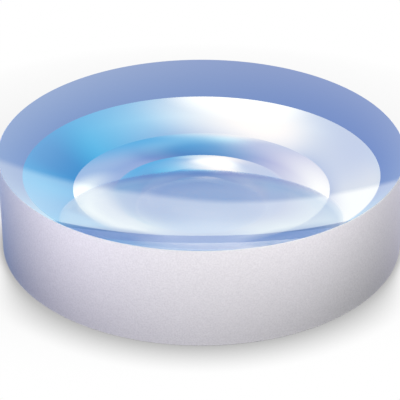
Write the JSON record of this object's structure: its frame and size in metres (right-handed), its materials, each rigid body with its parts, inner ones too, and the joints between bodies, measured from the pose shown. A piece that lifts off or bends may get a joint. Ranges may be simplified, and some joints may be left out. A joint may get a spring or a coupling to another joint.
{
  "type": "biconcave lens",
  "caption": "Round biconcave glass lens: two polished spherical hollows back to back, a fine-ground cylindrical edge and a narrow bevel at each rim.",
  "frame": {"origin": "on the optical axis, at the middle of the glass, halfway between the lowest points of the two hollows", "axes": "+Z along the optical axis, out of the upper hollow; X and Y are any two directions across the lens, which is round"},
  "size_m": [0.0254, 0.0254, 0.0064],
  "materials": {
    "optical_glass": "both hollow faces polished clear, cylindrical edge and rim bevels fine ground to an even matt white"
  },
  "bodies": {
    "root": {"lens": "optical_glass"}
  },
  "joints": []
}
